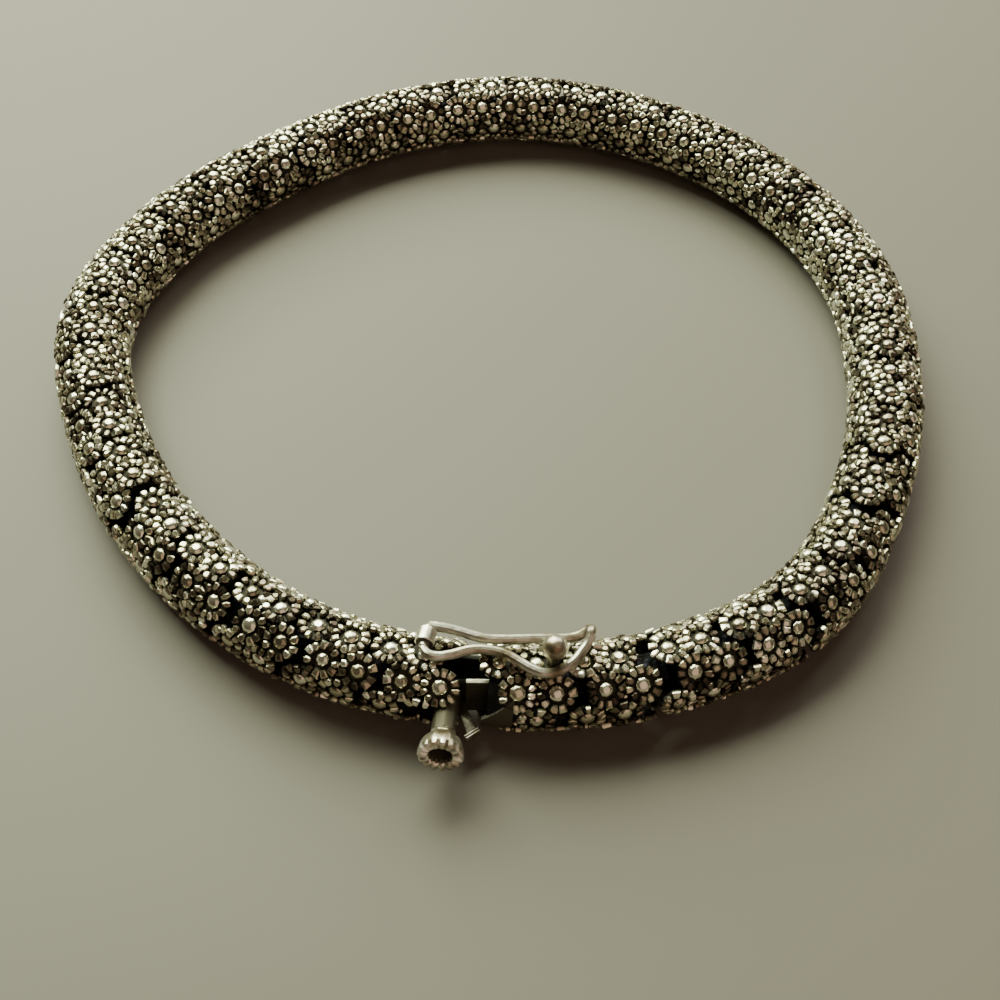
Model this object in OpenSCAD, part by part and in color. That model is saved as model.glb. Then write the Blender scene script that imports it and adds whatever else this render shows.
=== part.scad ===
// Rosette rope bracelet: short hollow barrel links on an inner chain, closed in front
// by a box clasp with a spring tongue, a thumb-piece and a figure-eight safety catch.
// Millimetres. +Z is up, the clasp faces -Y, and the bracelet lies on Z = 0.

/* [Loop] */
// Centreline of the closed loop. Columns: angle round the loop (0 right, 90 back), radius
loop_table = [
    [0, 29.9], [22.5, 31.0], [45, 31.5], [67.5, 31.4],
    [90, 31.0], [112.5, 29.7], [135, 29.0], [157.5, 30.2],
    [180, 31.4], [202.5, 30.2], [225, 29.8], [247.5, 29.9],
    [270, 29.9], [292.5, 30.4], [315, 31.0], [337.5, 29.9],
];
// Angle round the loop where the box's mouth lies
mouth_angle = 272.05; // [270:0.05:276]
// Shift of the loop's centre to the right, so that the origin is under the middle
shift_x = 0.7; // [-3:0.05:3]
// Shift of the loop's centre to the back, so that the origin is under the middle
shift_y = 0.95; // [-3:0.05:5]

/* [Links] */
// Number of plain links between the box and the tongue's link
plain_links = 35; // [30:1:38]
// Outer radius of a link's barrel
barrel_r = 2.35; // [2.2:0.05:2.45]
// Bore of a link, round the inner chain
bore_r = 1.75; // [1.5:0.05:1.9]
// Length of a link's barrel under its rosettes
barrel_len = 3.5; // [3:0.1:3.8]
// Gap between one link and the next where they lie close
close_gap = 0.2; // [0.15:0.05:0.3]
// Joints that lie open. Columns: joint counted from the box, gap
open_joints = [
    [0, 0.35], [1, 0.85], [2, 0.35], [3, 0.5], [5, 0.6], [6, 0.45],
    [31, 0.55], [32, 0.35], [33, 0.4], [34, 0.3],
];

/* [Rosettes] */
// Columns of rosettes round a link
columns = 8; // [8:2:8]
// Elevation of the first column above the outward side
column_phase = 50; // [40:1:55]
// Distance from the axis to a rosette's flat top
rosette_top = 2.5; // [2.45:0.05:2.6]
// Radius of a rosette at its top
rosette_r = 1.09; // [1:0.01:1.1]
// Radius of a rosette at its foot
rosette_foot_r = 0.95; // [0.9:0.01:0.98]
// Radius of the round setting in a rosette's middle
stud_r = 0.42; // [0.3:0.02:0.5]
// Distance from the axis to the top of that setting
stud_top = 2.8; // [2.7:0.05:2.9]

/* [Inner chain] */
// Outer radius of the inner chain that the links are threaded on
chain_r = 1.4; // [1.2:0.05:1.45]
// Sides of the inner chain
chain_sides = 10; // [8:1:12]
// Rings along the inner chain
chain_rings = 72; // [60:1:80]

/* [Clasp] */
// Open gap between the tongue's link and the box
mouth_gap = 2.5; // [2:0.1:2.7]
// Length of the box, up to its joint with the first link
box_len = 4.7; // [4.5:0.1:5]
// Bore of the box and of the tongue's link
box_bore_r = 2.05; // [2:0.01:2.1]
// Thickness of the box's end wall and of the wall that carries the tongue
end_wall = 0.5; // [0.4:0.1:0.8]
// Distance from the mouth to where the box's shell starts
shell_start = 0.15; // [0.1:0.05:0.3]
// Reach of the box's plain lip beyond its mouth
lip_reach = 0.5; // [0.3:0.1:0.8]
// Length of the lip along the box's shell, behind the mouth
lip_foot = 1.5; // [1.2:0.1:1.8]
// Slant of the lip's edge, from square to the bracelet
lip_slant = 49; // [40:1:55]
// Height of the two tongue leaves
leaf_h = 3.2; // [2.8:0.1:3.2]
// Thickness of a tongue leaf
leaf_t = 0.35; // [0.3:0.05:0.45]
// Distance of the fixed leaf from the bracelet's axis, towards the inside
fixed_in = 0.95; // [0.8:0.05:0.95]
// Distance of the sprung leaf's tip from the bracelet's axis, towards the outside
sprung_out = 0.1; // [0.1:0.05:0.2]
// Slant of the sprung leaf, outward from its tip
sprung_slant = 5.5; // [5:0.5:6]
// Distance that the tongue reaches into the box
tongue_reach = 3.2; // [2.8:0.1:3.3]
// Distance from the mouth back to the thumb-piece's post
post_back = 2.75; // [2.7:0.05:2.9]
// Upward tilt of the post and its cup
post_tilt = 8; // [0:1:9]
// Radius of the eight-sided post over its corners
post_r = 0.8; // [0.7:0.05:0.85]
// Distance from the bracelet's axis to the start of the fluted cup
cup_start = 4.05; // [3.9:0.05:4.2]
// Distance from the bracelet's axis to the face of the fluted cup
cup_face = 5.95; // [5.8:0.05:6.1]
// Radius of the fluted cup's face
cup_r = 1.47; // [1.4:0.01:1.5]
// Flutes round the cup
cup_flutes = 15; // [12:1:18]

/* [Safety catch] */
// Outer radius of the hinge barrel
hinge_r = 0.64; // [0.55:0.01:0.7]
// Length of the hinge barrel
hinge_len = 1.0; // [0.9:0.05:1.1]
// Distance from the mouth back to the hinge barrel
hinge_back = 4.45; // [4.4:0.05:4.5]
// Distance of the hinge barrel from the bracelet's axis, towards the inside
hinge_in = 1.28; // [1.2:0.02:1.4]
// Height of the hinge barrel's axis
hinge_z = 6.0; // [5.9:0.05:6.2]
// Turn of the hinge barrel away from square to the bracelet
hinge_turn = 7; // [6:1:8]
// Radius of the catch's wire
wire_r = 0.3; // [0.25:0.05:0.3]
// Clearance round the wire in the hinge barrel
wire_clear = 0.06; // [0.04:0.01:0.1]
// Radius of the ball that the catch snaps over
ball_r = 0.8; // [0.74:0.02:0.82]
// Radius of the ball's stem
stem_r = 0.42; // [0.3:0.02:0.45]
// Place of the ball: distance past the mouth, offset to the outside, height
ball_at = [3.73, -0.7, 7.05];

/* [Hidden] */
$fn = 48;
links = plain_links + 1;
rows = len(loop_table);
step_angle = 360 / rows;
samples = 720;
// Samples of the loop before and after the mouth, for places on the far side of it
margin = 40;
// Half of the distance over which the loop's direction is read
heading_reach = 0.2;
column_step = 360 / columns;
// Height of the axis when the lowest settings touch the ground
axis_z = stud_top * cos(column_phase - column_step) + stud_r * sin(column_phase - column_step);

// Radius of the loop at an angle: a smooth curve through the table's rows
function row_r(i) = loop_table[(i + rows) % rows][1];
function blend(a, b, c, d, t) =
    0.5 * (2 * b + (c - a) * t + (2 * a - 5 * b + 4 * c - d) * t * t + (3 * b - a - 3 * c + d) * t * t * t);
function loop_r(angle) =
    let (turn = angle - 360 * floor(angle / 360), i = floor(turn / step_angle), t = turn / step_angle - i)
    blend(row_r(i - 1), row_r(i), row_r(i + 1), row_r(i + 2), t);
function loop_at(angle) = [loop_r(angle) * cos(angle) + shift_x, loop_r(angle) * sin(angle) + shift_y];

// Angle round the loop as a function of the distance from the box's mouth
sample_points = [for (k = [-margin : samples + margin]) loop_at(mouth_angle + k * 360 / samples)];
lengths = [for (k = 0, s = 0; k < len(sample_points);
    s = s + (k + 1 < len(sample_points) ? norm(sample_points[k + 1] - sample_points[k]) : 0), k = k + 1) s];
loop_len = lengths[margin + samples] - lengths[margin];
angle_table = [for (k = [0 : len(lengths) - 1])
    [lengths[k] - lengths[margin], mouth_angle + (k - margin) * 360 / samples]];
function point_at(s) = loop_at(lookup(s, angle_table));
function heading_at(s) =
    let (d = point_at(s + heading_reach) - point_at(s - heading_reach)) atan2(d[1], d[0]);

// Where the links start along the loop, from the gaps between them
function gap_at(joint) = let (open = [for (row = open_joints) if (row[0] == joint) row[1]])
    len(open) > 0 ? open[0] : close_gap;
gaps = [for (joint = [0 : links - 1]) gap_at(joint)];
function total(list, n) = n <= 0 ? 0 : list[n - 1] + total(list, n - 1);
link_len = (loop_len - mouth_gap - box_len - total(gaps, links)) / links;
function link_start(i) = box_len + total(gaps, i) + (i - 1) * link_len;
rosette_step = link_len / 2;
function link_mid(i) = link_start(i) + link_len / 2;

// The clasp's own frame lies along the chord from the box to the tongue's link
tongue_start = link_start(links);
clasp_chord = point_at(box_len) - point_at(-mouth_gap - link_len);
clasp_heading = atan2(clasp_chord[1], clasp_chord[0]);
tongue_mid = tongue_start + link_len / 2;
tongue_x = -mouth_gap - link_len / 2;
box_end = box_len - 0.5;
// Back face of the wall that closes the tongue's link, before and behind the link's middle
plug_back = 0.2;
plug_x = tongue_x - plug_back;

// Puts its children at a distance along the loop: X along the loop, Y inward, Z up
module along_loop(s) {
    p = point_at(s);
    translate([p[0], p[1], axis_z]) rotate([0, 0, heading_at(s)]) children();
}

// Puts its children in the clasp's frame: X from the mouth into the box, Y outward, Z up
module clasp_frame() {
    p = point_at(0);
    translate([p[0], p[1], 0]) rotate([0, 0, clasp_heading]) mirror([0, 1, 0]) children();
}

// A bar along the loop's local direction
module bar(r, len) {
    rotate([0, 90, 0]) cylinder(h = len, r = r, center = true);
}

// One rosette: a flat-topped flower plate with a round setting in its middle
module rosette() {
    foot = bore_r + 0.35;
    translate([0, 0, foot]) cylinder(h = rosette_top - foot, r1 = rosette_foot_r, r2 = rosette_r, $fn = 32);
    translate([0, 0, foot]) cylinder(h = stud_top - foot, r = stud_r, $fn = 24);
}

// Two rosettes in each column, neighbouring columns staggered by half a rosette.
// One of the two in the last column, on the outer side, may be left out.
module rosette_field(mid, spacing, left_out = 0) {
    for (c = [0 : columns - 1], row = [-0.5, 0.5]) {
        stagger = (c % 2 == 0 ? 0.25 : -0.25) * spacing;
        if (c < columns - 1 || row != left_out)
            along_loop(mid + row * spacing + stagger)
                rotate([90 - column_phase - c * column_step, 0, 0]) rosette();
    }
}

// A link's barrel, still without its bore
module link_body(mid, spacing, len, left_out = 0) {
    along_loop(mid) bar(barrel_r, len);
    rosette_field(mid, spacing, left_out);
}

// One plain link
module link(i) {
    color("silver") difference() {
        link_body(link_mid(i), rosette_step, barrel_len);
        along_loop(link_mid(i)) bar(bore_r, link_len + 2);
    }
}

// The inner chain, as the tube that it fills inside the links
module inner_chain() {
    from = box_end + 0.3;
    to = tongue_mid - 0.5;
    ring = [for (a = [0 : chain_sides - 1]) 360 * a / chain_sides];
    points = [for (k = [0 : chain_rings]) let (
            s = from + (to - from) * k / chain_rings, p = point_at(s), h = heading_at(s))
        for (a = ring) [
            p[0] - chain_r * cos(a) * sin(h),
            p[1] + chain_r * cos(a) * cos(h),
            axis_z + chain_r * sin(a)]];
    sides = [for (k = [0 : chain_rings - 1], j = [0 : chain_sides - 1]) let (m = (j + 1) % chain_sides)
        [k * chain_sides + j, (k + 1) * chain_sides + j, (k + 1) * chain_sides + m, k * chain_sides + m]];
    first_cap = [for (j = [0 : chain_sides - 1]) j];
    last_cap = [for (j = [chain_sides - 1 : -1 : 0]) chain_rings * chain_sides + j];
    color("dimgray") polyhedron(points = points, faces = concat(sides, [first_cap, last_cap]));
}

// The safety catch's hinge barrel axis: X along it, from the far end to the near end
module hinge_frame() {
    translate([-hinge_back, -hinge_in, hinge_z]) rotate([0, 0, 90 + hinge_turn]) children();
}

// The saddle that carries the hinge barrel on the tongue's link
module saddle() {
    size = [0.8, 0.9, 1.5];
    drop = 0.9;
    clasp_frame() translate([-hinge_back, -hinge_in, hinge_z - drop])
        rotate([0, 0, hinge_turn]) cube(size, center = true);
}

// The fixed leaf of the tongue, from the wall of the tongue's link to the fold at its tip. The
// fold ends just short of the sprung leaf.
module fixed_leaf() {
    height = leaf_h - 0.3;
    back = plug_x + end_wall / 2;
    fold_gap = 0.05;
    inner_y = -fixed_in - leaf_t;
    clasp_frame() translate([back, inner_y, axis_z - height / 2])
        cube([tongue_reach - back, leaf_t, height]);
    clasp_frame() translate([tongue_reach - leaf_t, inner_y, axis_z - height / 2])
        cube([leaf_t, sprung_out - fold_gap - inner_y, height]);
}

// The tongue's link: a rosette link that carries the fixed leaf and the hinge barrel
module tongue_link() {
    tongue_barrel = barrel_len - 0.2;
    slot_h = 2 * post_r + 0.9;
    slot_at = [plug_x + end_wall + 0.02, 0.5, axis_z - slot_h / 2];
    color("silver") {
        difference() {
            union() {
                link_body(tongue_mid, rosette_step, tongue_barrel, 0.5);
                saddle();
                clasp_frame() hinge_frame() bar(hinge_r, hinge_len);
            }
            along_loop(tongue_mid) translate([-link_len / 2 - plug_back, 0, 0]) bar(bore_r, link_len);
            along_loop(tongue_mid) translate([end_wall - plug_back + link_len / 2, 0, 0])
                bar(box_bore_r, link_len);
            clasp_frame() translate(slot_at) cube([link_len, 2 * barrel_r, slot_h]);
            clasp_frame() hinge_frame() bar(wire_r + wire_clear, hinge_len + 2);
        }
        fixed_leaf();
    }
}

// The plain lip of the box, with its slanted edge
module box_lip() {
    lip_in = barrel_r - 0.15;
    lip_out = barrel_r + 0.2;
    lowest = 55;
    sweep = 85;
    kept = 4 * barrel_r;
    clasp_frame() translate([-lip_reach, 0, axis_z]) intersection() {
        rotate([0, 90, 0]) rotate([0, 0, lowest]) rotate_extrude(angle = sweep)
            translate([lip_in, 0]) square([lip_out - lip_in, lip_reach + lip_foot]);
        rotate([0, lip_slant, 0]) translate([0, 0, -kept / 2]) cube(kept);
    }
}

// The box: an open rosette tube with a closed end, the lip and the ball on its stem
module clasp_box() {
    ball_base = axis_z + 2.1;
    color("silver") {
        difference() {
            union() {
                clasp_frame() translate([(box_end + shell_start) / 2, 0, axis_z])
                    bar(barrel_r, box_end - shell_start);
                rosette_field(box_len / 2, box_len / 2, -0.5);
                box_lip();
            }
            clasp_frame() translate([box_end - end_wall - box_len, 0, axis_z]) bar(box_bore_r, 2 * box_len);
        }
        clasp_frame() translate([ball_at[0], ball_at[1], ball_base])
            cylinder(h = ball_at[2] - ball_base, r = stem_r, $fn = 24);
        clasp_frame() translate(ball_at) sphere(r = ball_r);
    }
}

// Puts its children on the post's axis: Z outward along it, from the bracelet's axis
module post_frame() {
    translate([-post_back, 0, axis_z]) rotate([post_tilt - 90, 0, 0]) children();
}

// The fluted cup on the post's end, with its hollow middle
module cup() {
    depth = cup_face - cup_start;
    flute_r = 0.16;
    flute_depth = 0.6;
    post_frame() difference() {
        translate([0, 0, cup_start]) rotate_extrude()
            polygon([[0, 0], [0.76, 0], [0.86, 0.25], [1.15, 0.85], [cup_r - 0.1, 1.35],
                [cup_r, depth - 0.2], [cup_r, depth], [0.95, depth], [0.78, depth - 0.8],
                [0, depth - 0.8]]);
        for (i = [0 : cup_flutes - 1])
            rotate([0, 0, 360 * (i + 0.5) / cup_flutes])
                translate([cup_r + 0.04, 0, cup_face - flute_depth])
                    cylinder(h = 1, r = flute_r, $fn = 16);
    }
}

// The tab beside the post: a leaning arm with its end bent forward
module tab() {
    lean = 25;
    bend = 40;
    arm = [0.55, 3.1, 0.3];
    end = [1.1, 0.3, 0.5];
    drop = 0.95;
    arm_at = [0.2 - post_back, 0.5, axis_z - drop];
    end_at = [1.25 - post_back, 3.45, axis_z - drop - 0.1];
    translate(arm_at) rotate([0, 0, -lean]) cube(arm);
    translate(end_at) rotate([0, 0, -bend]) cube(end);
}

// The thumb-piece: the sprung leaf, its tab, the eight-sided post and the fluted cup
module thumb_spring() {
    leaf_len = tongue_reach - plug_x - end_wall - 0.3;
    post_start = 0.9;
    join = 0.2;
    color("silver") clasp_frame() {
        translate([tongue_reach, sprung_out, axis_z - leaf_h / 2]) rotate([0, 0, -sprung_slant])
            translate([-leaf_len, 0, 0]) cube([leaf_len, leaf_t, leaf_h]);
        post_frame() translate([0, 0, post_start])
            cylinder(h = cup_start - post_start + join, r = post_r, $fn = 8);
        cup();
        tab();
    }
}

// Points that the catch's wire passes, in the clasp's frame: out along the near leg from the
// hinge, round the pinched tip, and back along the far leg
catch_points = [
    [-4.55, -0.43, 6.0], [-4.2, 0.0, 6.05], [-3.67, 0.12, 6.05], [-2.78, -0.08, 6.05],
    [-2.09, -0.38, 6.05], [-1.56, -0.58, 6.05], [-1.02, -0.68, 6.05], [-0.29, -0.69, 6.05],
    [0.6, -0.52, 6.05], [1.55, -0.06, 6.05], [2.3, 0.34, 6.05], [3.22, 0.6, 6.05],
    [3.93, 0.46, 6.05], [4.5, 0.08, 6.05], [5.1, -0.55, 6.08], [5.5, -1.2, 6.2],
    [5.78, -1.65, 6.36], [5.93, -1.98, 6.55], [5.98, -2.32, 6.74], [5.93, -2.66, 6.55],
    [5.64, -2.58, 6.3], [5.2, -2.32, 6.13], [4.28, -2.08, 6.05],
    [2.92, -1.92, 6.05], [1.37, -1.7, 6.05], [0.25, -1.56, 6.05], [-0.73, -1.54, 6.05],
    [-1.48, -1.66, 6.05], [-2.61, -1.92, 6.05], [-3.6, -2.06, 6.05], [-4.34, -2.13, 6.0],
];
catch_steps = 4;
catch_sides = 8;

// A smooth curve through a list of points
function curve_at(list, i, t) = let (n = len(list))
    [for (axis = [0 : 2]) blend(list[max(i - 1, 0)][axis], list[i][axis],
        list[min(i + 1, n - 1)][axis], list[min(i + 2, n - 1)][axis], t)];
function curve(list, steps) = concat(
    [for (i = [0 : len(list) - 2], k = [0 : steps - 1]) curve_at(list, i, k / steps)],
    [list[len(list) - 1]]);
function unit(v) = v / norm(v);

// A wire swept along a list of points
module wire(points, r, sides) {
    last = len(points) - 1;
    rings = [for (k = [0 : last]) let (
            along = unit(points[min(k + 1, last)] - points[max(k - 1, 0)]),
            side = unit(cross([0, 0, 1], along)), top = cross(along, side))
        for (j = [0 : sides - 1]) let (a = 360 * (j + 0.5) / sides)
            points[k] + r * (cos(a) * side + sin(a) * top)];
    skin = [for (k = [0 : last - 1], j = [0 : sides - 1]) let (m = (j + 1) % sides)
        [k * sides + j, (k + 1) * sides + j, (k + 1) * sides + m, k * sides + m]];
    first_cap = [for (j = [0 : sides - 1]) j];
    last_cap = [for (j = [sides - 1 : -1 : 0]) last * sides + j];
    polyhedron(points = rings, faces = concat(skin, [first_cap, last_cap]));
}

// The figure-eight safety catch, with its round pin through the hinge barrel
module safety_catch() {
    pin_out = hinge_len / 2 + wire_clear + wire_r;
    color("gainsboro") clasp_frame() {
        wire(curve(catch_points, catch_steps), wire_r, catch_sides);
        hinge_frame() bar(wire_r, 2 * pin_out);
    }
}

for (i = [1 : plain_links])
    link(i);
inner_chain();
tongue_link();
clasp_box();
thumb_spring();
safety_catch();
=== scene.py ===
# Rosette rope bracelet with a box clasp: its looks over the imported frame, in the order that the
# real one is put together. Shapes are made in millimetres and turned to metres when shown.
import math
import random

import bmesh
import bpy
import numpy
from mathutils import Matrix, Vector


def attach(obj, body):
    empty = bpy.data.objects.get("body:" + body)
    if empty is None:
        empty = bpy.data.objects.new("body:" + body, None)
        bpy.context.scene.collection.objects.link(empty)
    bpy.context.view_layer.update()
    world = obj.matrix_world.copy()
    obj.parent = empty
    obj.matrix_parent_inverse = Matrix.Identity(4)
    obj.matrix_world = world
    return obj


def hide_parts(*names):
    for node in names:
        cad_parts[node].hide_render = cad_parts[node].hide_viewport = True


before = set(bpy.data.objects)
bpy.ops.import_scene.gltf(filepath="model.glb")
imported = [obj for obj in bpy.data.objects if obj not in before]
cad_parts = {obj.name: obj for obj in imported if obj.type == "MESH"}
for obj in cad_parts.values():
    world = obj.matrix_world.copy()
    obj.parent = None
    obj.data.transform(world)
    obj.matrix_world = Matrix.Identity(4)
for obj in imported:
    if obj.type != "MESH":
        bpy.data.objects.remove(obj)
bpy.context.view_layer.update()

# The rope's path
# The bracelet is a rope of short barrel links strung on an inner chain, and it lies as a loose
# loop. The radius of its centreline changes round the loop, as the real one happened to be laid.
ROPE_RADII = [
    29.9, 31.0, 31.5, 31.4, 31.0, 29.7, 29.0, 30.2,
    31.4, 30.2, 29.8, 29.9, 29.9, 30.4, 31.0, 29.9,
]
RADIUS_STEP = 22.5
ROPE_MIDDLE = (0.7, 0.95)
MOUTH_ANGLE = 272.05

# It rests on the edges of its lowest settings, which are tilted by five degrees.
SETTING_TOP = 2.8
SETTING_RADIUS = 0.42
LOWEST_TILT = math.radians(5)
ROPE_HEIGHT = SETTING_TOP * math.cos(LOWEST_TILT) + SETTING_RADIUS * math.sin(LOWEST_TILT)


def rope_radius(angle):
    """The centreline's radius at an angle: a smooth curve through the sixteen radii."""
    step = (angle % 360) / RADIUS_STEP
    row = int(step)
    t = step - row
    a, b, c, d = [ROPE_RADII[(row + k) % len(ROPE_RADII)] for k in (-1, 0, 1, 2)]
    bend = (2 * a - 5 * b + 4 * c - d) * t * t + (3 * b - a - 3 * c + d) * t * t * t
    return 0.5 * (2 * b + (c - a) * t + bend)


def loop_point(angle):
    """The centreline's point at an angle, seen from above."""
    turn = math.radians(angle)
    radius = rope_radius(angle)
    return Vector((radius * math.cos(turn) + ROPE_MIDDLE[0], radius * math.sin(turn) + ROPE_MIDDLE[1]))


# Distances along it are measured in steps of half a degree, from 20 degrees before the box's mouth
# to 20 degrees past the whole turn.
TURN_STEPS = 720
SPARE_STEPS = 40
rope_angles = [MOUTH_ANGLE + k / 2 for k in range(-SPARE_STEPS, TURN_STEPS + SPARE_STEPS + 1)]
rope_points = [loop_point(angle) for angle in rope_angles]
rope_steps = [0.0] + [(b - a).length for a, b in zip(rope_points, rope_points[1:])]
rope_distances = numpy.cumsum(rope_steps)
rope_distances -= rope_distances[SPARE_STEPS]
rope_length = rope_distances[SPARE_STEPS + TURN_STEPS]


def rope_point(distance):
    """The centreline's point at a distance in mm along the rope from the box's mouth."""
    return loop_point(numpy.interp(distance, rope_distances, rope_angles))


def on_rope(distance):
    """The frame at that distance: X along the rope, Y towards the inside of the loop, Z up."""
    reach = 0.2
    here = rope_point(distance)
    ahead = rope_point(distance + reach) - rope_point(distance - reach)
    turn = Matrix.Rotation(math.atan2(ahead.y, ahead.x), 4, "Z")
    return Matrix.Translation((here.x, here.y, ROPE_HEIGHT)) @ turn


# Thirty-five plain links lie between the box and the tongue's link. Most joints are closed up,
# and a few lie open, as they do on either side of the clasp.
PLAIN_LINKS = 35
MOUTH_GAP = 2.5
BOX_LENGTH = 4.7
CLOSED_GAP = 0.2
OPEN_JOINTS = {0: 0.35, 1: 0.85, 2: 0.35, 3: 0.5, 5: 0.6, 6: 0.45, 31: 0.55, 32: 0.35, 33: 0.4, 34: 0.3}
joint_gaps = [OPEN_JOINTS.get(joint, CLOSED_GAP) for joint in range(PLAIN_LINKS + 1)]
link_length = (rope_length - MOUTH_GAP - BOX_LENGTH - sum(joint_gaps)) / (PLAIN_LINKS + 1)


def link_middle(number):
    """Where a link's middle lies along the rope, counted from the box."""
    return BOX_LENGTH + sum(joint_gaps[:number]) + (number - 0.5) * link_length


# Stones and their settings
# Each rosette is a flat silver plate with a ring of ten to twelve small marcasites, cut from
# pyrite, round a taller middle one. Small grains fill the corners between the rosettes.
chance = random.Random(41)

# The three finishes are numbered in the order of FINISHES below. A stone's foot is a share of its
# radius, and points closer than half a micron are one point.
SILVER, STONE, BRIGHT = 0, 1, 2
FOOT = 0.85
SAME_POINT = 0.0005


def keep_shape(shape, name, finish):
    """Stores a shape as a mesh that can be set many times, with its finish on every face."""
    for face in shape.faces:
        face.material_index = finish
        face.smooth = True
    mesh = bpy.data.meshes.new(name)
    shape.to_mesh(mesh)
    shape.free()
    return mesh


def cut_stone(name, sides, rows, finish=STONE):
    """A stone on a smaller foot. Rows are its radius and height at its belt and above each row of
    facets, all for a stone of radius and height 1."""
    shape = bmesh.new()
    belt_radius, belt_height = rows[0]
    bmesh.ops.create_cone(
        shape, cap_ends=True, segments=sides, radius1=FOOT, radius2=belt_radius, depth=belt_height
    )
    bmesh.ops.translate(shape, verts=shape.verts, vec=(0, 0, belt_height / 2))
    top = max(shape.faces, key=lambda face: face.calc_center_median().z)
    flat = math.cos(math.pi / sides)
    for (wide, low), (narrow, high) in zip(rows, rows[1:]):
        bmesh.ops.inset_region(shape, faces=[top], thickness=(wide - narrow) * flat, depth=high - low)
    return keep_shape(shape, name, finish)


def lathe(name, profile, steps, finish):
    """Turns a closed profile of (radius, height) points round Z."""
    shape = bmesh.new()
    corners = [shape.verts.new((radius, 0, height)) for radius, height in profile]
    sides = [shape.edges.new(pair) for pair in zip(corners, corners[1:] + corners[:1])]
    bmesh.ops.spin(
        shape, geom=corners + sides, cent=(0, 0, 0), axis=(0, 0, 1),
        angle=math.tau, steps=steps, use_merge=True,
    )
    bmesh.ops.remove_doubles(shape, verts=shape.verts, dist=SAME_POINT)
    bmesh.ops.recalc_face_normals(shape, faces=shape.faces)
    return keep_shape(shape, name, finish)


petal_stones = [
    cut_stone("petal_stone_6", 6, [(1.0, 0.6), (0.9, 0.86), (0.5, 1.0)]),
    cut_stone("petal_stone_7", 7, [(1.0, 0.6), (0.88, 0.86), (0.6, 1.0)]),
    cut_stone("petal_stone_8", 8, [(1.0, 0.62), (0.9, 0.88), (0.48, 1.0)]),
]
# The stones of a ring are nearly square, and wider at their outer ends.
SQUARENESS = 0.8
FLARE = 0.24
for stone in petal_stones:
    for vertex in stone.vertices:
        squarer = (vertex.co.xy.length / max(abs(vertex.co.x), abs(vertex.co.y))) ** SQUARENESS
        vertex.co.x *= squarer
        vertex.co.y *= squarer * (1 + FLARE * vertex.co.x)
middle_stone = cut_stone("middle_stone", 8, [(0.97, 0.6), (0.76, 0.84), (0.42, 1.0)])
grain_stone = cut_stone("grain_stone", 6, [(0.92, 0.6), (0.5, 1.0)])
rosette_plate = cut_stone("rosette_plate", 16, [(1.1, 0.36), (0.64, 0.3)], SILVER)


def new_piece():
    """A mesh in the making, with the two attributes that its finishes read."""
    piece = bmesh.new()
    piece.verts.layers.float.new("wear_and_shade")
    piece.verts.layers.float.new("tone")
    return piece


def place_shape(piece, shape, place, tone=0.5, wear_and_shade=None):
    """Adds a shape. Wear and painted shade run from 0 at a stone's foot to 1 at its top, unless one
    value is given.
    """
    first = len(piece.verts)
    piece.from_mesh(shape)
    piece.verts.ensure_lookup_table()
    added = piece.verts[first:]
    wear_and_shade_layer = piece.verts.layers.float["wear_and_shade"]
    tone_layer = piece.verts.layers.float["tone"]
    for vertex in added:
        vertex[wear_and_shade_layer] = vertex.co.z if wear_and_shade is None else wear_and_shade
        vertex[tone_layer] = tone
    bmesh.ops.transform(piece, matrix=place, verts=added)


def size(x, y, z):
    """A matrix that scales by these three factors."""
    return Matrix.Diagonal((x, y, z, 1))


def turned(degrees, axis):
    """A matrix that turns by degrees round an axis."""
    return Matrix.Rotation(math.radians(degrees), 4, axis)


def everywhere(point):
    """Leaves no stone out."""
    return True


# Seats are measured from the rope's axis. The stones of a ring share its room, which is half its
# length less the gaps, because a stone is sized by its radius.
PLATE_SEAT = 2.1
CROWN_SEAT = 2.34
PETAL_SEAT = 2.3
PETAL_RING = 0.9
PETAL_ROOM = 2.7
PETAL_LEAN = 12
OVERHANG = 0.04


def set_rosette(piece, place, free_side=0, wanted=everywhere):
    """Sets one rosette: its plate, its middle stone and the ring round it. Its stones are longer
    on a free side, 1 or -1 along the rope, where they overhang the link's end."""
    middle = place @ Matrix.Translation((0, 0, PLATE_SEAT))
    if wanted(middle.translation):
        place_shape(piece, rosette_plate, middle, wear_and_shade=0.3)
        crown = place @ Matrix.Translation((chance.gauss(0, 0.02), chance.gauss(0, 0.02), CROWN_SEAT))
        radius = chance.uniform(0.46, 0.54)
        shape = size(radius, radius * chance.uniform(0.92, 1.04), chance.uniform(0.44, 0.52))
        tip = turned(chance.gauss(0, 3), "X") @ turned(chance.uniform(0, 360), "Z")
        place_shape(piece, middle_stone, crown @ tip @ shape, chance.uniform(0.3, 1.0))
    petals = chance.choice((10, 10, 11, 11, 12))
    start = chance.uniform(0, 360)
    rosette_tone = chance.gauss(0.48, 0.12)
    for petal in range(petals):
        bearing = start + (petal + chance.gauss(0, 0.05)) * 360 / petals
        longer = max(free_side * math.cos(math.radians(bearing)), 0)
        around = turned(bearing, "Z")
        out = Matrix.Translation((chance.gauss(PETAL_RING, 0.012) + OVERHANG * longer, 0, PETAL_SEAT))
        seat = place @ around @ out
        if not wanted(seat.translation):
            continue
        lean = turned(chance.gauss(PETAL_LEAN, 5), "Y") @ turned(chance.gauss(0, 6), "X")
        width = PETAL_ROOM / petals * chance.uniform(0.92, 1.02)
        length = chance.uniform(0.27, 0.31) + OVERHANG / 2 * longer
        shape = size(length, width, chance.uniform(0.42, 0.5))
        tone = min(max(chance.gauss(rosette_tone, 0.24), 0), 1)
        stone = chance.choice(petal_stones)
        place_shape(piece, stone, seat @ lean @ turned(chance.gauss(0, 8), "Z") @ shape, tone)


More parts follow.
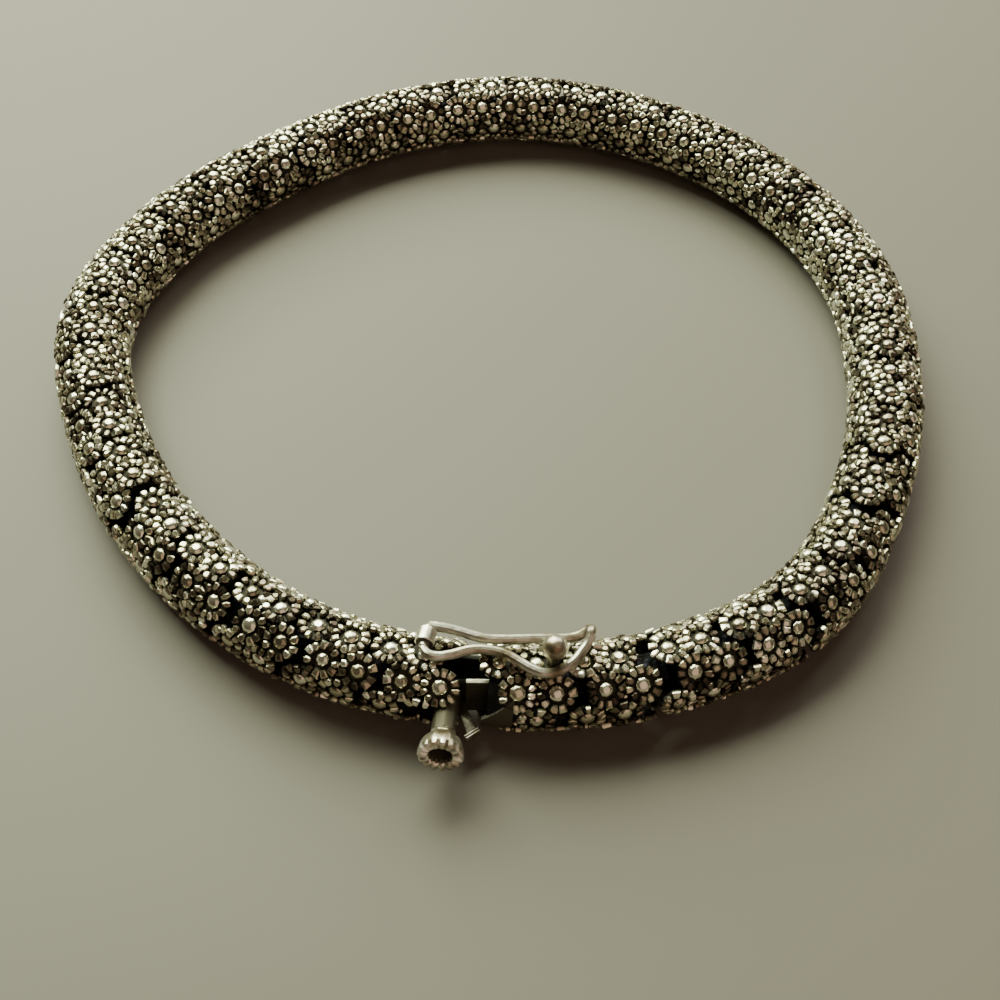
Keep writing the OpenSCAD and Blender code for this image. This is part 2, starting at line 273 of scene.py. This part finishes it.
# Columns are turned from the outward side, and each grain by so much more than its column.
COLUMN_ANGLES = [50 + 45 * column for column in range(8)]
GRAIN_TURNS = (14, 31)
GRAIN_SEAT = 2.25
ROSETTE_SPACING = 0.478
STAGGER = 0.25


def set_rosettes(piece, middle, spacing, wanted=everywhere):
    """Two rosettes in each of eight columns round the rope, and the grains between them."""
    for column, angle in enumerate(COLUMN_ANGLES):
        stagger = STAGGER if column % 2 == 0 else -STAGGER
        for row in (-0.5, 0.5):
            place = on_rope(middle + (row + stagger) * spacing) @ turned(90 - angle, "X")
            free_side = math.copysign(1, row) if abs(row + stagger) > 0.5 else 0
            set_rosette(piece, place, free_side, wanted)
        for further, along in zip(GRAIN_TURNS, (stagger, -stagger)):
            place = on_rope(middle + along * spacing) @ turned(90 - angle - further, "X")
            seat = place @ Matrix.Translation((chance.gauss(0, 0.03), chance.gauss(0, 0.03), GRAIN_SEAT))
            if not wanted(seat.translation):
                continue
            shape = size(0.2, chance.uniform(0.16, 0.2), chance.uniform(0.28, 0.36))
            spin = turned(chance.uniform(0, 360), "Z")
            place_shape(piece, grain_stone, seat @ spin @ shape, chance.uniform(0.1, 0.9))


def linear(code):
    """The linear colour of an sRGB hex value."""
    channels = [int(code[k:k + 2], 16) / 255 for k in (1, 3, 5)]
    return [c / 12.92 if c <= 0.04045 else ((c + 0.055) / 1.055) ** 2.4 for c in channels] + [1.0]


def new_material(name):
    """A material with its principled shader, and its node tree."""
    material = bpy.data.materials.new(name)
    material.use_nodes = True
    return material, material.node_tree, material.node_tree.nodes["Principled BSDF"]


def add(tree, kind, sockets, stops=(), **settings):
    """Adds a node. A socket takes a value or the output that it is linked to. Stops fill a colour
    ramp, with its two ends first and those between them after."""
    node = tree.nodes.new("ShaderNode" + kind)
    for name, value in settings.items():
        setattr(node, name, value)
    for name, value in sockets.items():
        if isinstance(value, bpy.types.NodeSocket):
            tree.links.new(value, node.inputs[name])
        else:
            node.inputs[name].default_value = value
    for index, (position, colour) in enumerate(stops):
        elements = node.color_ramp.elements
        stop = elements[index] if index < 2 else elements.new(position)
        stop.position = position
        stop.color = linear(colour)
    return node


# Sterling silver blackened with liver of sulphur, which stays dark in the recesses. It gives a
# nearly black ground with a faint blue and brown cast and a soft, broken sheen. The patina's
# patches are about 0.55 mm wide, and its grit 0.1 mm.
oxidised_silver, tree, shader = new_material("Oxidised sterling silver")
object_point = add(tree, "TexCoord", {}).outputs["Object"]
patina = add(tree, "TexNoise", {"Vector": object_point, "Scale": 1800.0, "Detail": 4.0})
patina_colour = add(
    tree, "ValToRGB", {"Fac": patina.outputs["Fac"]},
    stops=[(0.3, "#0E1014"), (0.7, "#2E2D24"), (0.55, "#181916")],
)
grit = add(tree, "TexNoise", {"Vector": object_point, "Scale": 9000.0, "Detail": 3.0})
grit_bump = add(tree, "Bump", {"Height": grit.outputs["Fac"], "Strength": 0.5, "Distance": 0.00003})
wear_and_shade = add(tree, "Attribute", {}, attribute_name="wear_and_shade")
rubbed = add(
    tree, "Mix", {0: wear_and_shade.outputs["Fac"], 6: patina_colour.outputs["Color"], 7: linear("#5B574A")},
    data_type="RGBA",
)
tree.links.new(rubbed.outputs[2], shader.inputs["Base Color"])
tree.links.new(grit_bump.outputs["Normal"], shader.inputs["Normal"])
shader.inputs["Metallic"].default_value = 0.7
shader.inputs["Roughness"].default_value = 0.62

# Marcasite, which is pyrite cut with a flat table and sloping facets: a pale brassy grey metal
# shine, dulled by wear. Each stone has its own tone, and dirt and painted shade darken it towards
# its foot. The scuffs are about 0.17 mm wide.
marcasite, tree, shader = new_material("Cut marcasite")
object_point = add(tree, "TexCoord", {}).outputs["Object"]
tone = add(tree, "Attribute", {}, attribute_name="tone")
stone_colour = add(
    tree, "ValToRGB", {"Fac": tone.outputs["Fac"]},
    stops=[(0.0, "#3E3830"), (1.0, "#FCFDEC"), (0.3, "#877F6D"), (0.55, "#CDCAB0"), (0.8, "#EEEED8")],
)
wear_and_shade = add(tree, "Attribute", {}, attribute_name="wear_and_shade")
# Dirt and painted shade: each stone's colour goes dark from its top down to its foot.
dirt_and_shade = add(tree, "ValToRGB", {"Fac": wear_and_shade.outputs["Fac"]}, stops=[(0.24, "#000000"), (0.62, "#FFFFFF")])
stained_and_shaded = add(
    tree, "Mix", {0: dirt_and_shade.outputs["Color"], 6: linear("#1E1C15"), 7: stone_colour.outputs["Color"]},
    data_type="RGBA",
)
scuffs = add(tree, "TexNoise", {"Vector": object_point, "Scale": 6000.0, "Detail": 3.0})
scuff_bump = add(tree, "Bump", {"Height": scuffs.outputs["Fac"], "Strength": 0.2, "Distance": 0.00004})
shine = add(tree, "MapRange", {"Value": scuffs.outputs["Fac"], "To Min": 0.12, "To Max": 0.32})
tree.links.new(stained_and_shaded.outputs[2], shader.inputs["Base Color"])
tree.links.new(scuff_bump.outputs["Normal"], shader.inputs["Normal"])
tree.links.new(shine.outputs["Result"], shader.inputs["Roughness"])
shader.inputs["Metallic"].default_value = 0.9

# Sterling silver worn bright by handling, as on the wire, the ball and the thumb-piece's cup: warm
# white metal with fine dents of 0.4 mm, and patches of yellow-brown tarnish about 1.4 mm wide.
worn_silver, tree, shader = new_material("Worn sterling silver")
object_point = add(tree, "TexCoord", {}).outputs["Object"]
tarnish = add(tree, "TexNoise", {"Vector": object_point, "Scale": 700.0, "Detail": 4.0})
tarnish_colour = add(
    tree, "ValToRGB", {"Fac": tarnish.outputs["Fac"]},
    stops=[(0.34, "#80745E"), (0.6, "#F6F4E8"), (0.46, "#C4BCA8")],
)
dents = add(tree, "TexNoise", {"Vector": object_point, "Scale": 2500.0, "Detail": 3.0})
dent_bump = add(tree, "Bump", {"Height": dents.outputs["Fac"], "Strength": 0.4, "Distance": 0.00006})
gloss = add(tree, "MapRange", {"Value": tarnish.outputs["Fac"], "To Min": 0.44, "To Max": 0.24})
wear_and_shade = add(tree, "Attribute", {}, attribute_name="wear_and_shade")
handled = add(
    tree, "Mix", {0: wear_and_shade.outputs["Fac"], 6: linear("#5C574C"), 7: tarnish_colour.outputs["Color"]},
    data_type="RGBA",
)
tree.links.new(handled.outputs[2], shader.inputs["Base Color"])
tree.links.new(dent_bump.outputs["Normal"], shader.inputs["Normal"])
tree.links.new(gloss.outputs["Result"], shader.inputs["Roughness"])
shader.inputs["Metallic"].default_value = 0.92

FINISHES = [oxidised_silver, marcasite, worn_silver]
SHARP_EDGE = math.radians(28)


def show(piece, name, body, nodes):
    """Turns a finished piece to metres, and shows it in place of its nodes, riding on a body."""
    mesh = bpy.data.meshes.new(name)
    piece.to_mesh(mesh)
    piece.free()
    mesh.transform(Matrix.Scale(0.001, 4))
    mesh.set_sharp_from_angle(angle=SHARP_EDGE)
    for finish in FINISHES:
        mesh.materials.append(finish)
    shown = bpy.data.objects.new(name, mesh)
    bpy.context.scene.collection.objects.link(shown)
    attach(shown, body)
    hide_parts(*nodes)
    return shown


# Plain links
# Each link is a short open barrel of oxidised silver, covered all round by sixteen rosettes that
# are soldered on and overhang its ends, so that the joints show as dark wavy lines.
BARREL = 2.33
BORE = 1.75
HALF_BARREL = 1.75
RIM = 0.08
BARREL_PROFILE = [
    (BORE, -HALF_BARREL), (BARREL - RIM, -HALF_BARREL), (BARREL, -HALF_BARREL + RIM),
    (BARREL, HALF_BARREL - RIM), (BARREL - RIM, HALF_BARREL), (BORE, HALF_BARREL),
]
link_barrel = lathe("link_barrel", BARREL_PROFILE, 32, SILVER)
lengthwise = turned(90, "Y")

for number in range(1, PLAIN_LINKS + 1):
    link = new_piece()
    middle = link_middle(number)
    place_shape(link, link_barrel, on_rope(middle) @ lengthwise, wear_and_shade=0.0)
    set_rosettes(link, middle, ROSETTE_SPACING * link_length)
    node = f"link_{number:02d}"
    show(link, "rosette_" + node, "bracelet", [node])

# Inner chain
# A blackened woven chain fills the bore of the links and holds them together. Only its dark
# surface shows, deep in the open joints, so its weave is drawn as a cross-hatch of 0.5 mm.
chain_steel, tree, shader = new_material("Blackened chain wire")
object_point = add(tree, "TexCoord", {}).outputs["Object"]
strands = add(tree, "TexVoronoi", {"Vector": object_point, "Scale": 2000.0})
strand_bump = add(
    tree, "Bump", {"Height": strands.outputs["Distance"], "Strength": 0.9, "Distance": 0.0001},
    invert=True,
)
strand_colour = add(
    tree, "ValToRGB", {"Fac": strands.outputs["Distance"]}, stops=[(0.1, "#20232E"), (0.6, "#08080C")]
)
tree.links.new(strand_colour.outputs["Color"], shader.inputs["Base Color"])
tree.links.new(strand_bump.outputs["Normal"], shader.inputs["Normal"])
shader.inputs["Metallic"].default_value = 0.8
shader.inputs["Roughness"].default_value = 0.45
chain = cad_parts["inner_chain"]
chain.data.materials.clear()
chain.data.materials.append(chain_steel)

# The clasp's own frame has X from the box's mouth into the box, Y inward and Z up.
mouth = rope_point(0)
clasp_chord = rope_point(BOX_LENGTH) - rope_point(-MOUTH_GAP - link_length)
clasp_turn = math.atan2(clasp_chord.y, clasp_chord.x)
in_clasp = Matrix.Translation((mouth.x, mouth.y, 0)) @ Matrix.Rotation(clasp_turn, 4, "Z")
to_clasp = in_clasp.inverted()


def plate(name, length, width, height, edge, finish):
    """A flat bar round the origin with its edges rounded by a small bevel."""
    shape = bmesh.new()
    bmesh.ops.create_cube(shape, size=1.0, matrix=size(length, width, height))
    bmesh.ops.bevel(
        shape, geom=shape.edges[:], offset=edge, offset_type="OFFSET", segments=2, profile=0.5,
        affect="EDGES", material=-1,
    )
    return keep_shape(shape, name, finish)


# Tongue's link
# The last link is closed by a wall that carries the fixed leaf of the tongue. A slot in its outer
# side lets the thumb-piece's post pass, and a saddle on top holds the catch's hinge barrel.
SHEET = 0.3
LEAF = 0.33
LEAF_EDGE = 0.06
TONGUE_REACH = 3.2
SLOT_START = -4.6
SLOT_HALF = 1.0
SLOT_FLOOR = 0.33
WALL_RADIUS = 2.2
HALF_WALL = 0.25
WALL_SHIFT = 0.05
tongue_middle = link_middle(PLAIN_LINKS + 1)
wall_back = -MOUTH_GAP - link_length / 2 - (HALF_WALL - WALL_SHIFT)

HINGE_AT = (-4.45, 1.28, 6.0)
HINGE_TURN = 7
SADDLE_ROOM = 0.75


def elevation(y, z):
    """The angle in degrees of a point in the clasp's frame above the rope's outward side."""
    return math.degrees(math.atan2(z - ROPE_HEIGHT, -y))


def clear_of_slot(point):
    """Leaves out the rosette in the thumb-piece's slot and the stones under the hinge's saddle."""
    x, y, z = to_clasp @ point
    in_slot = x > SLOT_START - 1 and -20 < elevation(y, z) < 24
    under_saddle = math.hypot(x - HINGE_AT[0], y - HINGE_AT[1]) < SADDLE_ROOM and z > ROPE_HEIGHT + 1
    return not in_slot and not under_saddle


tongue_link = new_piece()
end_barrel = bmesh.new()
bmesh.ops.create_cone(
    end_barrel, cap_ends=False, segments=48, radius1=BARREL, radius2=BARREL, depth=2 * HALF_BARREL
)
bmesh.ops.bisect_plane(
    end_barrel, geom=end_barrel.verts[:] + end_barrel.edges[:] + end_barrel.faces[:],
    plane_co=(0, 0, SLOT_FLOOR), plane_no=(0, 0, 1),
)
slot_faces = [
    face for face in end_barrel.faces
    if face.calc_center_median().z > SLOT_FLOOR and face.calc_center_median().y < 0
    and abs(face.calc_center_median().x) < SLOT_HALF
]
bmesh.ops.delete(end_barrel, geom=slot_faces, context="FACES")
bmesh.ops.solidify(end_barrel, geom=end_barrel.faces[:], thickness=SHEET)
bmesh.ops.recalc_face_normals(end_barrel, faces=end_barrel.faces)
end_barrel = keep_shape(end_barrel, "end_barrel", SILVER)
end_wall = lathe(
    "end_wall",
    [(0, -HALF_WALL), (WALL_RADIUS, -HALF_WALL), (WALL_RADIUS, HALF_WALL), (0, HALF_WALL)],
    32, SILVER,
)
place_shape(tongue_link, end_barrel, on_rope(tongue_middle) @ lengthwise, wear_and_shade=0.0)
wall_place = on_rope(tongue_middle) @ Matrix.Translation((WALL_SHIFT, 0, 0))
place_shape(tongue_link, end_wall, wall_place @ lengthwise, wear_and_shade=0.0)
set_rosettes(tongue_link, tongue_middle, ROSETTE_SPACING * link_length, clear_of_slot)

FIXED_IN = 0.88
FOLD_OUT = 0.05
FOLD_WIDTH = FIXED_IN + LEAF + FOLD_OUT
FIXED_HEIGHT = 3.24
leaf_length = TONGUE_REACH - wall_back - HALF_WALL
fixed_leaf = plate("fixed_leaf", leaf_length, LEAF, FIXED_HEIGHT, LEAF_EDGE, SILVER)
leaf_fold = plate("leaf_fold", LEAF, FOLD_WIDTH, FIXED_HEIGHT, LEAF_EDGE, SILVER)
leaf_middle = Vector((TONGUE_REACH - leaf_length / 2, FIXED_IN + LEAF / 2, ROPE_HEIGHT))
fold_middle = Vector((TONGUE_REACH - LEAF / 2, FOLD_WIDTH / 2 - FOLD_OUT, ROPE_HEIGHT))
place_shape(tongue_link, fixed_leaf, in_clasp @ Matrix.Translation(leaf_middle), wear_and_shade=0.1)
place_shape(tongue_link, leaf_fold, in_clasp @ Matrix.Translation(fold_middle), wear_and_shade=0.1)

HALF_HINGE = 0.5
PIN_HOLE = 0.36
hinge_place = in_clasp @ Matrix.Translation(HINGE_AT) @ turned(-90 - HINGE_TURN, "Z")
hinge_barrel = lathe(
    "hinge_barrel",
    [
        (PIN_HOLE, -HALF_HINGE), (0.58, -HALF_HINGE), (0.63, 0.04 - HALF_HINGE),
        (0.64, 0.12 - HALF_HINGE), (0.64, HALF_HINGE - 0.12), (0.63, HALF_HINGE - 0.04),
        (0.58, HALF_HINGE), (PIN_HOLE, HALF_HINGE),
    ],
    32, BRIGHT,
)
# The barrel's two end faces take the dark oxidised finish as painted shade.
for face in hinge_barrel.polygons:
    if abs(face.center.z) > HALF_HINGE - 0.01:
        face.material_index = SILVER
saddle = plate("saddle", 0.8, 0.9, 1.5, 0.12, SILVER)
place_shape(tongue_link, hinge_barrel, hinge_place @ lengthwise, wear_and_shade=1.0)
saddle_place = in_clasp @ Matrix.Translation((HINGE_AT[0], HINGE_AT[1], HINGE_AT[2] - 0.9))
place_shape(tongue_link, saddle, saddle_place @ turned(-HINGE_TURN, "Z"), wear_and_shade=0.5)
show(tongue_link, "tongue_end_link", "bracelet", ["tongue_link"])

# Box
# The box is a rosette link with a closed end and an open mouth. A plain slanted lip of thin sheet
# carries its wall out on the outer side, and a ball on a stem stands on top for the catch.
BALL_AT = (3.73, 0.7, 7.05)
STEM_FOOT = ROPE_HEIGHT + PLATE_SEAT
STEM_ROOM = 0.58


def clear_of_stem(point):
    """Leaves out the stones where the ball's stem stands, and the rosette that the lip replaces."""
    x, y, z = to_clasp @ point
    under_stem = z > ROPE_HEIGHT and math.hypot(x - BALL_AT[0], y - BALL_AT[1]) < STEM_ROOM
    around = elevation(y, z)
    under_lip = -20 < around < 38 and x < (1.6 if around < 24 else 1.2)
    return not under_stem and not under_lip


box = new_piece()
BOX_END = 4.2
BOX_HOLLOW = 2.05
BOX_WALL = 2.35
box_shell = lathe(
    "box_shell",
    [
        (0, BOX_END - 0.5), (BOX_HOLLOW, BOX_END - 0.5), (BOX_HOLLOW, -0.2), (2.29, -0.2),
        (BOX_WALL, -0.14), (BOX_WALL, BOX_END - 0.08), (2.27, BOX_END), (0, BOX_END),
    ],
    48, SILVER,
)
place_shape(box, box_shell, in_clasp @ Matrix.Translation((0, 0, ROPE_HEIGHT)) @ lengthwise, wear_and_shade=0.0)
STONES_FORWARD = 0.23
set_rosettes(box, BOX_LENGTH / 2 - STONES_FORWARD, BOX_LENGTH / 2, clear_of_stem)

LIP_REACH = 0.5
LIP_FOOT = 1.5
LIP_RADIUS = 2.55
LIP_LOWEST = -36
LIP_HIGHEST = 51
LIP_SLANT = math.radians(49)
lip_length = LIP_REACH + LIP_FOOT
lip = bmesh.new()
bmesh.ops.create_cone(
    lip, cap_ends=False, segments=72, radius1=LIP_RADIUS, radius2=LIP_RADIUS, depth=lip_length
)
lip_middle = Matrix.Translation((lip_length / 2 - LIP_REACH, 0, 0))
bmesh.ops.transform(lip, matrix=lip_middle @ lengthwise, verts=lip.verts)
lip_away = [
    face for face in lip.faces
    if not LIP_LOWEST < math.degrees(
        math.atan2(face.calc_center_median().z, -face.calc_center_median().y)
    ) < LIP_HIGHEST
]
bmesh.ops.delete(lip, geom=lip_away, context="FACES")
bmesh.ops.bisect_plane(
    lip, geom=lip.verts[:] + lip.edges[:] + lip.faces[:], clear_inner=True,
    plane_co=(-LIP_REACH, 0, 0), plane_no=(math.cos(LIP_SLANT), 0, -math.sin(LIP_SLANT)),
)
bmesh.ops.solidify(lip, geom=lip.faces[:], thickness=SHEET)
bmesh.ops.recalc_face_normals(lip, faces=lip.faces)
lip = keep_shape(lip, "lip", SILVER)
# Its cut edges take the bright finish, as worn metal and as a painted highlight along the rim.
for face in lip.polygons:
    radial = Vector((0, face.center.y, face.center.z)).normalized()
    if abs(face.normal.dot(radial)) < 0.6:
        face.material_index = BRIGHT
place_shape(box, lip, in_clasp @ Matrix.Translation((0, 0, ROPE_HEIGHT)), wear_and_shade=0.9)

ball = lathe(
    "ball",
    [(0, -1.5), (0.42, -1.5), (0.4, -1.1), (0.45, -0.78)]
    + [(0.84 * math.cos(math.radians(a)), 0.86 * math.sin(math.radians(a))) for a in range(-45, 90, 15)]
    + [(0, 0.86)],
    32, BRIGHT,
)
for vertex in ball.vertices:
    if vertex.co.z < -1.3:
        vertex.co.z = STEM_FOOT - BALL_AT[2]
place_shape(box, ball, in_clasp @ Matrix.Translation(BALL_AT), wear_and_shade=1.0)
show(box, "box_with_ball", "bracelet", ["clasp_box"])

# Thumb-piece
# The sprung leaf folds back beside the fixed one and carries an eight-sided post, which ends in a
# fluted cup with an empty, dark middle. A bent tab beside the post stops it in the slot.
POST_BACK = 2.75
POST_TILT = 8
CUP_START = 4.05
CUP_DEPTH = 1.9
CUP_RADIUS = 1.47
FLUTES = 15
SPRUNG_SLANT = 5.5
SPRUNG_END = 0.3
thumb_piece = new_piece()
spring_length = TONGUE_REACH - wall_back - 2 * HALF_WALL - SPRUNG_END
RUBBED_HIGHLIT_FROM = 4.9
SPRUNG_HEIGHT = 3.5
spring_place = (
    in_clasp @ Matrix.Translation((TONGUE_REACH, -0.1, ROPE_HEIGHT - 0.15)) @ turned(SPRUNG_SLANT, "Z")
    @ Matrix.Translation((0, -LEAF / 2, 0))
)
# The front of the sprung leaf has a bright top, as rubbed metal and as a painted highlight, while its
# back part stays dark.
rubbed_highlit_part = plate("rubbed_highlit_part", RUBBED_HIGHLIT_FROM, LEAF, SPRUNG_HEIGHT, LEAF_EDGE, SILVER)
for face in rubbed_highlit_part.polygons:
    if face.normal.z > 0.5:
        face.material_index = BRIGHT
back_part = plate("back_part", spring_length - RUBBED_HIGHLIT_FROM, LEAF, SPRUNG_HEIGHT, LEAF_EDGE, SILVER)
rubbed_highlit_place = spring_place @ Matrix.Translation((-RUBBED_HIGHLIT_FROM / 2, 0, 0))
back_place = spring_place @ Matrix.Translation((-(spring_length + RUBBED_HIGHLIT_FROM) / 2, 0, 0))
place_shape(thumb_piece, rubbed_highlit_part, rubbed_highlit_place, wear_and_shade=0.8)
place_shape(thumb_piece, back_part, back_place, wear_and_shade=0.0)

outward = in_clasp @ Matrix.Translation((-POST_BACK, 0, ROPE_HEIGHT)) @ turned(90 - POST_TILT, "X")
post = bmesh.new()
bmesh.ops.create_cone(post, cap_ends=True, segments=8, radius1=0.8, radius2=0.8, depth=3.2)
bmesh.ops.bevel(
    post, geom=post.edges[:], offset=0.04, offset_type="OFFSET", segments=1, profile=0.5,
    affect="EDGES", material=-1,
)
post = keep_shape(post, "post", SILVER)
place_shape(thumb_piece, post, outward @ Matrix.Translation((0, 0, 2.5)), wear_and_shade=1.0)

cup = lathe(
    "cup",
    [
        (0, 0), (0.8, 0), (0.84, 0.08), (0.8, 0.16), (0.88, 0.3), (1.1, 0.54), (1.28, 0.82),
        (CUP_RADIUS - 0.06, 1.15), (CUP_RADIUS, 1.5), (CUP_RADIUS - 0.01, CUP_DEPTH - 0.12),
        (CUP_RADIUS - 0.1, CUP_DEPTH), (1.15, CUP_DEPTH + 0.04), (0.93, CUP_DEPTH + 0.02),
        (0.8, CUP_DEPTH - 0.1), (0.74, CUP_DEPTH - 0.4), (0.62, CUP_DEPTH - 1.1), (0, CUP_DEPTH - 1.2),
    ],
    150, BRIGHT,
)
# Its lower part has the post's eight flats, which blend into the round, fluted rim.
FLUTE_DEPTH = 0.1
FLUTE_DROP = 0.13
FLUTES_FROM = 1.45
DROP_FROM = 1.5
FLATS_TO = 1.3
BLEND = 0.3
CUP_MOUTH = 0.68
CUP_HOLLOW = 0.76
EIGHTH = math.pi / 4


def ramp(value, reach):
    """Rises from 0 to 1 as a value goes from 0 to its reach."""
    return min(max(value / reach, 0), 1)


for vertex in cup.vertices:
    around = math.atan2(vertex.co.y, vertex.co.x)
    radius = math.hypot(vertex.co.x, vertex.co.y)
    height = vertex.co.z
    groove = 1 - abs(math.sin(FLUTES * around / 2))
    fluted = ramp(height - FLUTES_FROM, BLEND) * ramp(radius - CUP_MOUTH, 0.2)
    off_flat = (around + EIGHTH / 2) % EIGHTH - EIGHTH / 2
    flat = math.cos(EIGHTH / 2) / math.cos(off_flat)
    scale = (1 - FLUTE_DEPTH * groove * fluted) * (1 + (flat - 1) * ramp(FLATS_TO - height, BLEND))
    vertex.co.x *= scale
    vertex.co.y *= scale
    vertex.co.z -= FLUTE_DROP * groove * fluted * ramp(height - DROP_FROM, BLEND)
for face in cup.polygons:
    if math.hypot(face.center.x, face.center.y) < CUP_HOLLOW and face.center.z > 0.6:
        face.material_index = SILVER
place_shape(thumb_piece, cup, outward @ Matrix.Translation((0, 0, CUP_START)), wear_and_shade=1.0)

TAB_HEIGHT = ROPE_HEIGHT - 0.8
tab_arm = plate("tab_arm", 0.65, 3.1, 0.3, 0.05, BRIGHT)
tab_arm_place = in_clasp @ Matrix.Translation((0.2 - POST_BACK, -0.5, TAB_HEIGHT)) @ turned(25, "Z")
place_shape(thumb_piece, tab_arm, tab_arm_place @ Matrix.Translation((0.275, -1.55, 0)), wear_and_shade=0.35)
tab_end = plate("tab_end", 1.1, 0.13, 0.5, 0.04, BRIGHT)
tab_end_place = in_clasp @ Matrix.Translation((1.25 - POST_BACK, -3.45, TAB_HEIGHT)) @ turned(40, "Z")
for side in (0.065, 0.24):
    place_shape(thumb_piece, tab_end, tab_end_place @ Matrix.Translation((0.55, -side, 0)), wear_and_shade=0.5)
show(thumb_piece, "thumb_piece", "thumb", ["thumb_spring"])

# Safety catch
# One silver wire, 0.65 mm thick, is bent to a figure eight, pinched up at its tip, and hung on a
# pin through the hinge barrel. It swings over and snaps round the ball.
CATCH_POINTS = [
    (-4.55, 0.43, 6.0), (-4.2, 0.0, 6.05), (-3.67, -0.12, 6.05), (-2.78, 0.08, 6.05),
    (-2.09, 0.38, 6.05), (-1.56, 0.58, 6.05), (-1.02, 0.68, 6.05), (-0.29, 0.69, 6.05),
    (0.6, 0.52, 6.05), (1.55, 0.06, 6.05), (2.3, -0.34, 6.05), (3.22, -0.6, 6.05),
    (3.93, -0.46, 6.05), (4.5, -0.08, 6.05), (5.1, 0.55, 6.08), (5.5, 1.2, 6.2),
    (5.78, 1.65, 6.36), (5.93, 1.98, 6.55), (5.98, 2.32, 6.74), (5.93, 2.66, 6.55),
    (5.64, 2.58, 6.3), (5.2, 2.32, 6.13), (4.28, 2.08, 6.05), (2.92, 1.92, 6.05),
    (1.37, 1.7, 6.05), (0.25, 1.56, 6.05), (-0.73, 1.54, 6.05), (-1.48, 1.66, 6.05),
    (-2.61, 1.92, 6.05), (-3.6, 2.06, 6.05), (-4.34, 2.13, 6.0),
]
WIRE = 0.325
wire_curve = bpy.data.curves.new("catch_wire", "CURVE")
wire_curve.dimensions = "3D"
wire_curve.bevel_depth = WIRE
wire_curve.bevel_resolution = 4
wire_curve.resolution_u = 8
wire_curve.use_fill_caps = True
wire_line = wire_curve.splines.new("BEZIER")
wire_line.bezier_points.add(len(CATCH_POINTS) - 1)
for bend, point in zip(wire_line.bezier_points, CATCH_POINTS):
    bend.co = point
    bend.handle_left_type = "AUTO"
    bend.handle_right_type = "AUTO"
wire_holder = bpy.data.objects.new("catch_wire", wire_curve)
bpy.context.scene.collection.objects.link(wire_holder)
bpy.context.view_layer.update()
scene_state = bpy.context.evaluated_depsgraph_get()
wire_mesh = bpy.data.meshes.new_from_object(wire_holder.evaluated_get(scene_state))
bpy.data.objects.remove(wire_holder)
for face in wire_mesh.polygons:
    face.material_index = BRIGHT
    face.use_smooth = True
catch = new_piece()
place_shape(catch, wire_mesh, in_clasp, wear_and_shade=0.65)
pin = lathe(
    "pin",
    [(0, -0.86), (0.2, -0.86), (WIRE, -0.76), (WIRE, 0.76), (0.2, 0.86), (0, 0.86)],
    24, BRIGHT,
)
place_shape(catch, pin, hinge_place @ lengthwise, wear_and_shade=0.8)
show(catch, "figure_eight_catch", "catch", ["safety_catch"])

# Studio
# A plain pale floor, a large soft light high at the back left like a window, a smaller one at the
# back right, and a weak fill.
floor_mesh = bmesh.new()
bmesh.ops.create_grid(floor_mesh, x_segments=1, y_segments=1, size=1.5)
floor_paint, tree, shader = new_material("Pale painted floor")
shader.inputs["Base Color"].default_value = linear("#737069")
shader.inputs["Roughness"].default_value = 0.6
floor_data = bpy.data.meshes.new("floor")
floor_mesh.to_mesh(floor_data)
floor_mesh.free()
floor_data.materials.append(floor_paint)
floor = bpy.data.objects.new("floor", floor_data)
bpy.context.scene.collection.objects.link(floor)


def soft_light(name, place, target, width, power, colour):
    """A square soft light at a place, turned to face a target."""
    lamp = bpy.data.lights.new(name, "AREA")
    lamp.size = width
    lamp.energy = power
    lamp.color = linear(colour)[:3]
    holder = bpy.data.objects.new(name, lamp)
    holder.location = place
    holder.rotation_euler = (Vector(target) - Vector(place)).to_track_quat("-Z", "Y").to_euler()
    bpy.context.scene.collection.objects.link(holder)


soft_light("window", (-0.155, 0.247, 0.27), (0, 0, 0), 0.36, 5.3, "#F4FBDA")
soft_light("far_window", (0.14, 0.3, 0.26), (0, 0, 0), 0.24, 0.7, "#FFF8E4")
soft_light("fill", (0.2, -0.36, 0.3), (0, 0, 0), 0.6, 0.65, "#FFD8BE")
world = bpy.data.worlds.new("room")
world.use_nodes = True
world.node_tree.nodes["Background"].inputs["Color"].default_value = linear("#B08F74")
world.node_tree.nodes["Background"].inputs["Strength"].default_value = 0.11
bpy.context.scene.world = world

# Camera
# It stands in front of the clasp and looks down at 52 degrees, with the photograph's slight roll.
EYE = Vector((0.00143, -0.07495, 0.08106))
AIM = Vector((0.00144, -0.01145, 0.0))
ROLL = math.radians(4.01)
view_back = (EYE - AIM).normalized()
view_right = Vector((0, 0, 1)).cross(view_back).normalized()
view_up = view_back.cross(view_right)
camera_right = math.cos(ROLL) * view_right + math.sin(ROLL) * view_up
camera_up = math.cos(ROLL) * view_up - math.sin(ROLL) * view_right
camera_data = bpy.data.cameras.new("camera")
camera_data.lens = 50.09
camera_data.sensor_width = 36
camera_data.clip_start = 0.005
camera = bpy.data.objects.new("camera", camera_data)
camera_turn = Matrix((camera_right, camera_up, view_back)).transposed()
camera.matrix_world = Matrix.Translation(EYE) @ camera_turn.to_4x4()
bpy.context.scene.collection.objects.link(camera)
bpy.context.scene.camera = camera
